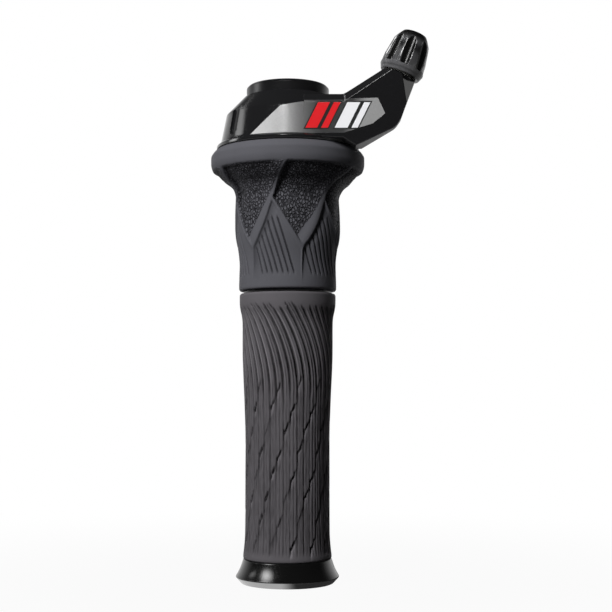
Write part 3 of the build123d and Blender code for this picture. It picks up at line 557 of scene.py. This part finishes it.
def pebbled_panels(net, place, groove):
    mask = attribute(net, "pebble")
    stretch = net.node("ShaderNodeMapping", {}, {"Vector": place, "Scale": PEBBLE_STRETCH})
    cells = net.node(
        "ShaderNodeTexVoronoi", {"feature": "DISTANCE_TO_EDGE"},
        {"Vector": stretch, "Scale": 1 / (PEBBLE_MM * MM), "Randomness": 0.9}, out="Distance",
    )
    pebble = smooth(cells, *PEBBLE_EDGE)
    speckle = noise(net, place, SPECKLE_MM, 1.0)
    relief = mask * pebble * PEBBLE_RELIEF
    # Painted shade in the gaps between pebbles, mixed with the rubber's own speckled tone
    dark = mask * ((1 - pebble) * 0.9 + (0.5 - speckle) * 1.0 - 0.05)
    # Painted glints on the pebble tops
    light = mask * smooth(cells, *GLINT_EDGE) * smooth(speckle, *GLINT_SPECKLE) * GLINT_SHARE
    return relief, dark, light


def rubber(name, shade, tint, pattern):
    material, net, place = new_finish(name)
    grain = noise(net, place, RUBBER_GRAIN_MM, 3.0)
    cloud = noise(net, place, RUBBER_CLOUD_MM)
    groove = attribute(net, "groove")
    relief, dark, light = pattern(net, place, groove)
    # Painted shade from the groove attribute and the pattern, mixed with the rubber's own cloudy tone
    dark = groove * 0.8 + (0.5 - cloud) * 0.35 + dark
    colour = blend(net, dark, grey(shade, tint), grey(shade * DARK_SHARE, tint))
    # Painted highlights lighten the colour
    colour = blend(net, light * 0.8, colour, grey(shade * LIGHT_SHARE, tint))
    values = {
        "Base Color": colour,
        "Roughness": 0.5 + grain * 0.1 + groove * 0.2,
        "Specular IOR Level": 0.03,
        "Normal": bump(net, grain * 0.35 + relief, 0.2),
    }
    set_surface(net, values)
    return material


# Gloss cover with a silver field and slanted bars
FIELD_CORNERS = (
    (-13.2, 161.3), (-2.4, 171.6), (6.1, 173.6), (32.4, 174.2), (35.0, 168.6), (30.6, 165.0), (20.1, 161.6),
)
FIELD_MIDDLE = 167.5
FIELD_FRONT = (-13.0, -11.0)
FIELD_FACING = (-0.6, -0.4)
# Span of the painted sheen across the silver field
PAINTED_SHEEN_SPAN = (-11.0, 13.0)
TIP_LEAN = 0.3
TIP_SPAN = (21.0, 28.0)
BAR_LEAN = 0.5
BAR_HEIGHT = (163.4, 172.6)
RED_BARS = ((8.6, 12.8), (14.2, 16.6))
WHITE_BARS = ((19.0, 23.6), (25.0, 27.2))
RIM_WIDTH = 0.5
PRINT_BLUR = 0.06
UNDER_FACING = (-0.5, -0.2)


def edge_distance(x, z, start, end):
    run = (end[0] - start[0], end[1] - start[1])
    length = math.hypot(*run)
    return (x - start[0]) * (run[1] / length) - (z - start[1]) * (run[0] / length)


def field_distance(x, z, corners):
    nearest = None
    for start, end in zip(corners, corners[1:] + corners[:1]):
        away = edge_distance(x, z, start, end)
        nearest = away if nearest is None else nearest.maths("MINIMUM", away)
    return nearest


def printed(value, span, margin=0.0):
    return between(value, span[0] - margin, span[1] + margin, PRINT_BLUR)


def gloss_cover():
    material, net, place = new_finish("gloss_black_cover")
    split = parts_of(net, place)
    x = split * PER_MM
    depth = split.out("Y") * PER_MM
    z = split.out("Z") * PER_MM
    normal = facing(net)
    front = (1 - smooth(depth, *FIELD_FRONT)) * (1 - smooth(normal.out("Y"), *FIELD_FACING))
    field = smooth(field_distance(x, z, FIELD_CORNERS), -PRINT_BLUR, PRINT_BLUR) * front
    # Painted sheen: the silver field is light at the left and dark under the bars
    painted_sheen = smooth(x, *PAINTED_SHEEN_SPAN)
    tip = smooth(x - (z - FIELD_MIDDLE) * TIP_LEAN, *TIP_SPAN)
    mist = noise(net, place, 0.6)
    silver = blend(net, painted_sheen, grey(0.42), grey(0.03, (1.0, 1.0, 1.02)))
    silver = blend(net, tip, silver, grey(0.26))
    silver = blend(net, mist * 0.24, silver, grey(0.05))
    slant = x - (z - FIELD_MIDDLE) * BAR_LEAN
    tall = printed(z, BAR_HEIGHT) * field
    border = printed(z, BAR_HEIGHT, RIM_WIDTH) * field
    red = printed(slant, RED_BARS[0]) + printed(slant, RED_BARS[1])
    white = printed(slant, WHITE_BARS[0]) + printed(slant, WHITE_BARS[1])
    red_rim = printed(slant, (RED_BARS[0][0], RED_BARS[1][1]), RIM_WIDTH)
    white_rim = printed(slant, (WHITE_BARS[0][0], WHITE_BARS[1][1]), RIM_WIDTH)
    colour = blend(net, field, grey(0.0075, (1.0, 1.0, 1.08)), silver)
    colour = blend(net, (red_rim + white_rim) * border, colour, grey(0.012))
    colour = blend(net, red * tall, colour, (0.56, 0.012, 0.016, 1.0))
    colour = blend(net, white * tall, colour, grey(0.7, (1.0, 1.0, 1.03)))
    dust = noise(net, place, 2.2, 4.0)
    under = 1 - smooth(normal.out("Z"), *UNDER_FACING)
    values = {
        "Base Color": colour,
        "Roughness": 0.1 + dust * 0.08 + field * 0.16 + under * 0.4,
        "Specular IOR Level": 0.4,
        "Coat Weight": (0.2 - field * 0.15) * (1 - under),
        "Coat Roughness": 0.06,
        "Normal": bump(net, dust, 0.01, 0.4),
    }
    set_surface(net, values)
    return material


# Nylon, end ring, knob and steel
RING_UNDER = (-0.4, -0.2)
STEEL_STRETCH = (1.0, 1.0, 0.06)


def nylon(name, shade, roughness, grain_mm, relief_mm, specular):
    material, net, place = new_finish(name)
    grain = noise(net, place, grain_mm, 3.0)
    cloud = noise(net, place, 6.0)
    worn = tuple(part * 0.72 for part in shade) + (1.0,)
    values = {
        "Base Color": blend(net, cloud, tuple(shade) + (1.0,), worn),
        "Roughness": roughness + (grain - 0.5) * 0.12,
        "Specular IOR Level": specular,
        "Normal": bump(net, grain, relief_mm),
    }
    set_surface(net, values)
    return material


def polished_ring():
    material, net, place = new_finish("black_anodised")
    grain = noise(net, place, 0.5, 3.0)
    under = 1 - smooth(facing(net).out("Z"), *RING_UNDER)
    values = {
        "Base Color": blend(net, under, grey(0.004), grey(0.4)),
        "Roughness": 0.19 + (grain - 0.5) * 0.06,
        "Metallic": under * 0.9,
        "Specular IOR Level": 0.45,
        "Normal": bump(net, grain, 0.004),
    }
    set_surface(net, values)
    return material


def fluted_knob():
    material, net, place = new_finish("black_knob")
    split = parts_of(net, place)
    tilt = math.radians(KNOB_TILT_DEG)
    x = split * PER_MM - KNOB_BASE[0]
    y = split.out("Y") * PER_MM - KNOB_BASE[1]
    z = split.out("Z") * PER_MM - KNOB_BASE[2]
    along = x * math.sin(tilt) + z * math.cos(tilt)
    across = x * math.cos(tilt) - z * math.sin(tilt)
    radius = (across * across + y * y).maths("SQRT")
    land = smooth(radius - follow(along, KNOB_PROFILE, 0.0, KNOB_REACH), -0.3, -0.1)
    past_ring = smooth(along, KNOB_RING - KNOB_BLUR, KNOB_RING + KNOB_BLUR)
    ring = land * (1 - past_ring) * smooth(along, -0.3, 0.2)
    lands_with_painted_highlight = land * past_ring * (1 - smooth(along, *KNOB_CROWN))
    grain = noise(net, place, 0.4, 3.0)
    # Painted highlight: the lands are a lighter blue-grey than the flutes; their coat is real gloss
    colour = blend(net, lands_with_painted_highlight, grey(0.004), grey(0.05, (1.0, 1.0, 1.04)))
    colour = blend(net, ring * (0.1 + grain * 0.9), colour, grey(0.13, (1.0, 1.0, 1.05)))
    values = {
        "Base Color": colour,
        "Roughness": 0.22 + land * 0.12 + (grain - 0.5) * 0.1,
        "Specular IOR Level": 0.2,
        "Coat Weight": lands_with_painted_highlight * 0.9,
        "Coat Roughness": 0.16,
        "Normal": bump(net, grain, 0.008),
    }
    set_surface(net, values)
    return material


def brushed_steel(name, shade, roughness):
    material, net, place = new_finish(name)
    stretch = net.node("ShaderNodeMapping", {}, {"Vector": place, "Scale": STEEL_STRETCH})
    lines = noise(net, stretch, 0.12)
    cloud = noise(net, place, 3.0)
    dull = tuple(part * 0.6 for part in shade) + (1.0,)
    values = {
        "Base Color": blend(net, cloud * 0.7, tuple(shade) + (1.0,), dull),
        "Roughness": roughness + lines * 0.18,
        "Metallic": 1.0,
        "Normal": bump(net, lines, 0.01),
    }
    set_surface(net, values)
    return material


TWIST_RUBBER = rubber("twist_rubber", 0.076, (1.0, 1.0, 1.12), pebbled_panels)
GRIP_RUBBER = rubber("grip_rubber", 0.088, (1.0, 0.945, 1.02), fine_lines)
COVER_GLOSS = gloss_cover()
RING_BLACK = polished_ring()
KNOB_BLACK = fluted_knob()
BODY_NYLON = nylon("black_nylon", (0.0065, 0.0065, 0.007), 0.3, 0.5, 0.006, 0.25)
PALE_NYLON = nylon("white_nylon", (0.7, 0.7, 0.66), 0.42, 0.6, 0.01, 0.5)
BRIGHT_STEEL = brushed_steel("bright_steel", (0.56, 0.56, 0.57), 0.22)
BLACK_STEEL = brushed_steel("black_steel", (0.035, 0.035, 0.037), 0.3)
SLOT_FINISHES = {
    "twist_rubber": TWIST_RUBBER,
    "grip_rubber": GRIP_RUBBER,
    "cover_black": COVER_GLOSS,
    "black_anodised": RING_BLACK,
    "black_nylon": BODY_NYLON,
    "white_nylon": PALE_NYLON,
    "bright_steel": BRIGHT_STEEL,
    "black_steel": BLACK_STEEL,
}


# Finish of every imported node
for subpart in frame["record"]["subparts"]:
    mesh = frame["nodes"][subpart["node"]].data
    mesh.materials.clear()
    mesh.materials.append(SLOT_FINISHES[subpart["material_slot"]])

# Fixed grip
grip_sizes = {
    "Columns": COLUMNS_PER_RIB * RIB_COUNT, "Rows": GRIP_ROWS, "Foot": GRIP_FOOT, "Top": GRIP_TOP,
    "Rib start": RIB_START, "Ribs": RIB_COUNT, "Relief": 1.0,
}
grip_inner = ((GRIP_INNER, GRIP_TOP), (GRIP_INNER, GRIP_FOOT))
grip_net, grip_given = new_tree("grip_ribs", grip_sizes)
turned_sleeve(grip_net, grip_given, GRIP_PROFILE, grip_inner, grip_relief, GRIP_RUBBER)
placed(grown("ribbed_grip", grip_net, grip_sizes), "housing", "grip_sleeve")

# Twisting sleeve
twist_sizes = {
    "Columns": COLUMNS_PER_FIN * FIN_COUNT, "Rows": TWIST_ROWS, "Foot": TWIST_FOOT, "Top": TWIST_TOP,
    "Panel depth": PANEL_DEPTH, "Relief": 1.0,
}
twist_net, twist_given = new_tree("twist_fins", twist_sizes)
turned_sleeve(twist_net, twist_given, TWIST_PROFILE, TWIST_INNER, twist_relief, TWIST_RUBBER)
placed(grown("finned_twist_sleeve", twist_net, twist_sizes), "twist_grip", "twist_rubber")

# Cover, collar, knob and end ring
eased("shifter_cover", "housing", COVER_GLOSS, 0.25)
eased("clamp_body", "housing", BODY_NYLON, 0.2)
eased("adjuster_knob", "adjuster_knob", KNOB_BLACK, 0.25)
eased("end_clamp_ring", "housing", RING_BLACK, 0.4)

# Light and floor
BACKDROP_DEPTH = (0.1, 0.75)
BACKDROP_RISE = (0.2, 0.6)
MIRROR_LEAST = 0.03
AMBIENT = 0.015
FLOOR_SIZE = 40.0
FLOOR_DROP = -0.0002
FLOOR_FAR = (0.03, 0.3)
# Span of the painted dark patch that the floor shows only in reflections
FLOOR_PAINTED_SHADE = (-0.003, 0.004)
FLOOR_GLOW_LEAST = 0.95


def soft_box(name, place, aim, size, power, mirrored=True, matt=True, spread_deg=180.0):
    lamp = bpy.data.lights.new(name, "AREA")
    lamp.shape = "RECTANGLE"
    lamp.size, lamp.size_y = size
    lamp.energy = power
    lamp.spread = math.radians(spread_deg)
    holder = bpy.data.objects.new(name, lamp)
    holder.location = place
    holder.rotation_euler = (Vector(aim) - Vector(place)).to_track_quat("-Z", "Y").to_euler()
    holder.visible_glossy = mirrored
    holder.visible_diffuse = matt
    scene.collection.objects.link(holder)


def glint_box(name, place, aim, size, power, spread_deg):
    soft_box(name, place, aim, size, power, matt=False, spread_deg=spread_deg)


def seen_directly(net):
    path = net.node("ShaderNodeLightPath", out="Is Camera Ray")
    return path, path.out("Is Glossy Ray"), path.out("Is Transmission Ray")


def light_world():
    world = bpy.data.worlds.new("studio")
    scene.world = world
    world.use_nodes = True
    world.node_tree.nodes.clear()
    net = Wire(world.node_tree)
    camera_ray, glossy_ray, clear_ray = seen_directly(net)
    aim = parts_of(net, net.node("ShaderNodeTexCoord", out="Generated"))
    back = smooth(aim.out("Y"), *BACKDROP_DEPTH) * (1 - smooth(aim.out("Z"), *BACKDROP_RISE))
    straight = (camera_ray + clear_ray).maths("MINIMUM", 1.0)
    mirror = glossy_ray * (1 - straight) * (MIRROR_LEAST + back * (1 - MIRROR_LEAST))
    strength = straight + mirror + (1 - straight) * (1 - glossy_ray) * AMBIENT
    glow = net.node("ShaderNodeBackground", {}, {"Color": grey(1.0), "Strength": strength})
    net.node("ShaderNodeOutputWorld", {}, {"Surface": glow})


def lay_floor():
    bpy.ops.mesh.primitive_grid_add(
        x_subdivisions=4, y_subdivisions=4, size=FLOOR_SIZE, location=(0.0, 0.0, FLOOR_DROP)
    )
    floor = bpy.context.object
    floor.name = "studio_floor"
    material, net, place = new_finish("pale_floor")
    camera_ray, glossy_ray, clear_ray = seen_directly(net)
    mottle = noise(net, place, 40.0)
    paint = blend(net, mottle * 0.2, grey(0.06), grey(0.05))
    matt = net.node("ShaderNodeBsdfDiffuse", {}, {"Color": paint})
    distance = net.node("ShaderNodeVectorMath", {"operation": "LENGTH"}, {0: place}, out="Value")
    far = smooth(distance, *FLOOR_FAR)
    # Painted shade in reflections: right of the part, glossy rays see a dark floor
    painted_dark_reflection = smooth(parts_of(net, place), *FLOOR_PAINTED_SHADE) * (1 - far)
    mirrored = glossy_ray * (1 - camera_ray) * painted_dark_reflection
    colour = blend(net, mirrored, grey(1.0), grey(0.05))
    glow = net.node("ShaderNodeEmission", {}, {"Color": colour, "Strength": 1.0})
    share = (camera_ray + glossy_ray + clear_ray).maths("MINIMUM", 1.0)
    share = share * (FLOOR_GLOW_LEAST + far * (1 - FLOOR_GLOW_LEAST))
    surface = net.node("ShaderNodeMixShader", {}, {0: share, 1: matt, 2: glow})
    net.node("ShaderNodeOutputMaterial", {}, {"Surface": surface})
    floor.data.materials.append(material)


light_world()
lay_floor()
soft_box("front_box", (-0.29, -0.49, 0.45), (0.0, 0.0, 0.1), (0.16, 0.3), 6.4, mirrored=False)
glint_box("left_box", (-0.4, 0.04, 0.29), (0.0, 0.0, 0.17), (0.14, 0.2), 0.02, 32.0)
glint_box("ring_box", (-0.2, -0.13, 0.19), (0.0, 0.0, 0.005), (0.24, 0.14), 0.05, 30.0)
glint_box("knob_box", (0.005, -0.225, 0.375), (0.044, -0.02, 0.192), (0.1, 0.12), 0.02, 18.0)
glint_box("knob_rim_box", (-0.1, 0.14, 0.37), (0.044, -0.017, 0.192), (0.07, 0.1), 0.003, 16.0)
glint_box("arm_box", (0.28, 0.01, 0.262), (0.046, -0.021, 0.172), (0.05, 0.09), 0.00015, 16.0)
soft_box("back_box", (0.22, 0.56, 0.42), (0.0, 0.0, 0.1), (0.3, 0.3), 4.0, mirrored=False)
soft_box("top_box", (-0.22, -0.12, 0.75), (0.02, 0.0, 0.15), (0.2, 0.2), 0.7, mirrored=False)

# Camera
FRAME_PIXELS = 612
FOCAL_PIXELS = 1265.0
PIXELS_PER_MM = 2.7
TILT_PIXELS = 82.0
SENSOR_MM = 36.0
lens = bpy.data.cameras.new("photo_camera")
lens.sensor_width = SENSOR_MM
lens.sensor_fit = "HORIZONTAL"
lens.lens = FOCAL_PIXELS * SENSOR_MM / FRAME_PIXELS
lens.clip_start = 0.01
camera = bpy.data.objects.new("photo_camera", lens)
camera.location = (0.0068, -FOCAL_PIXELS / PIXELS_PER_MM * MM, 0.071)
camera.rotation_euler = (math.radians(90.0) + math.atan(TILT_PIXELS / FOCAL_PIXELS), 0.0, 0.0)
scene.collection.objects.link(camera)
scene.camera = camera
scene.view_settings.view_transform = "Standard"
